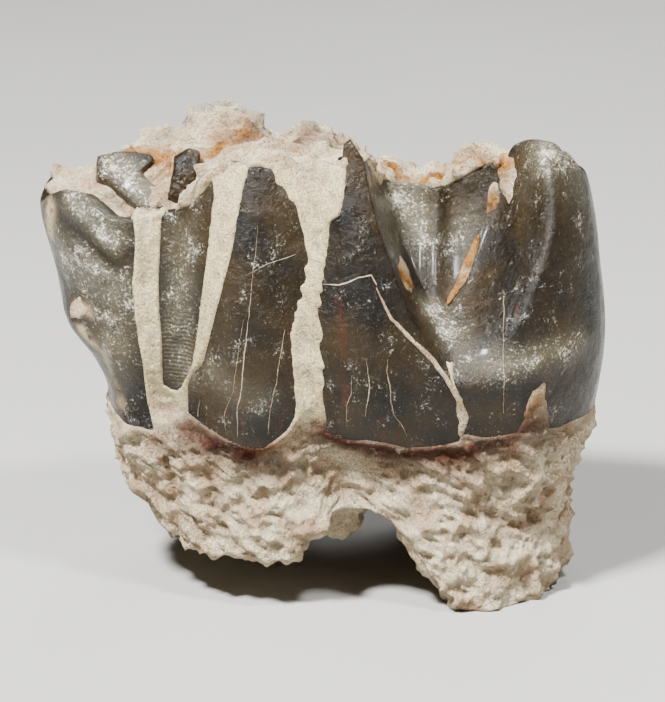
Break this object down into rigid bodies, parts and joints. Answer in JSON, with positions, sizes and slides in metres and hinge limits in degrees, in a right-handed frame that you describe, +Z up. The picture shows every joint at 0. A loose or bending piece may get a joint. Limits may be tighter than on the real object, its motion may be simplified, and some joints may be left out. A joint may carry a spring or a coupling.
{
  "type": "fossil rhinoceros cheek tooth",
  "caption": "Fossil cheek tooth of a small running rhinoceros: dark cracked enamel lobes and a cleft on pale stony roots, standing as a display specimen.",
  "frame": {"origin": "on the surface the tooth stands on, under the middle of its box", "axes": "+X to the right along the tooth's length, +Y away from the viewer to its outer wall, +Z up"},
  "size_m": [0.028, 0.0162, 0.0235],
  "materials": {
    "pale_stone": "rough cream stone and fossil root, stained purple brown under the enamel and rust on the top",
    "dark_enamel": "glossy brown black fossil enamel with pale specks and hairline cracks"
  },
  "bodies": {
    "root": {"roots_and_matrix": "pale_stone", "left_lobe": "dark_enamel", "sliver": "dark_enamel", "middle_lobe": "dark_enamel", "central_cusp": "dark_enamel", "cleft_wall": "dark_enamel", "right_lobe": "dark_enamel", "outer_wall": "dark_enamel", "pit_wall": "dark_enamel", "pit_pillar": "dark_enamel"}
  },
  "joints": []
}
